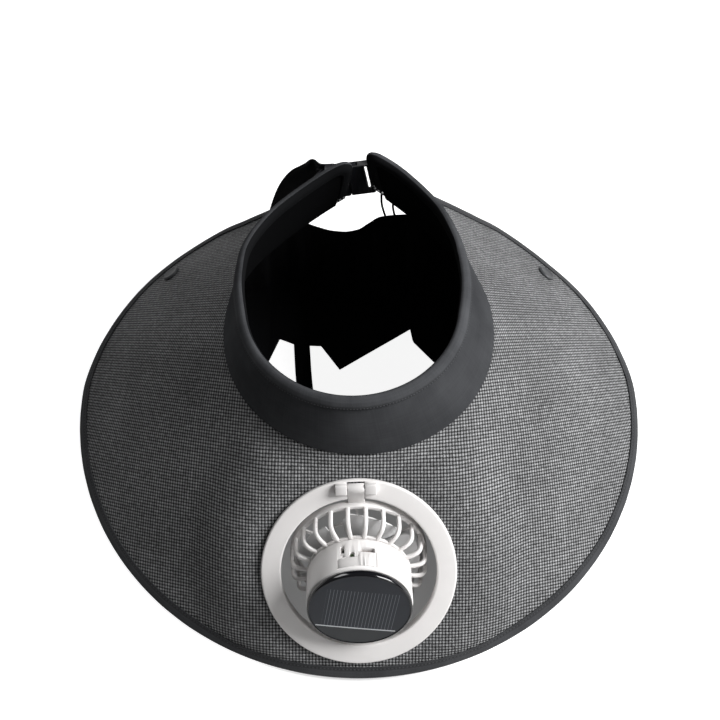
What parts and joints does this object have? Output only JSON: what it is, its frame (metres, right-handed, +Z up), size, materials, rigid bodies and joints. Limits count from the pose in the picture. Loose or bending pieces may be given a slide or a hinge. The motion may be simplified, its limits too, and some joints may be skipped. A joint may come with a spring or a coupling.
{
  "type": "solar fan hat",
  "caption": "Open-crown sun visor with a wide woven brim, padded headband, a round fan with a solar panel on its hub hinged in the front brim, rear buckle strap and buttoned neck flap.",
  "frame": {"origin": "on the table that the brim edge stands on, under the middle of the whole hat", "axes": "+Z up from the table, -Y the way the wearer looks (the fan side), +X to the wearer's left, which is the right of the picture"},
  "size_m": [0.4382, 0.3618, 0.1778],
  "materials": {
    "weave": "coarse plain weave, matte",
    "binding": "folded tape, matte",
    "band_cloth": "fine cloth over padding, matte",
    "webbing": "woven webbing",
    "soft_cloth": "thin soft cloth",
    "black_plastic": "satin",
    "grey_plastic": "satin",
    "white_plastic": "semi gloss",
    "clear_plastic": "translucent",
    "gloss_black": "gloss",
    "cell": "glossy solar cell under clear resin",
    "steel": "plain"
  },
  "bodies": {
    "hat": {"brim": "weave", "brim_binding": "binding", "headband": "band_cloth", "band_roll": "band_cloth", "snap_side_left": "grey_plastic", "snap_side_right": "grey_plastic", "snap_rear_left": "grey_plastic", "snap_rear_right": "grey_plastic", "fan_ring": "white_plastic", "clamp_ring": "white_plastic", "hinge_pin": "steel", "buckle_socket": "black_plastic", "buckle_plug": "black_plastic", "web_right": "webbing", "web_left": "webbing", "strap_tail": "webbing", "neck_flap": "soft_cloth", "flap_tie": "soft_cloth"},
    "fan_head": {"fan_cage": "white_plastic", "fan_guard": "white_plastic", "fan_hub": "white_plastic", "port_cover": "white_plastic", "panel_bezel": "gloss_black", "solar_cell": "cell"},
    "rotor": {"fan_rotor": "clear_plastic"}
  },
  "joints": [
    {"name": "fan_tilt", "type": "hinge", "parent": "hat", "child": "fan_head", "pos_m": [-0.00194, -0.08366, 0.09722], "axis": [0.9995, 0.0243, 0.0226], "range_deg": [-25, 0]},
    {"name": "fan_spin", "type": "hinge", "parent": "fan_head", "child": "rotor", "pos_m": [-0.00022, -0.10527, 0.04396], "axis": [0.014, -0.9264, 0.3764], "continuous": true}
  ]
}
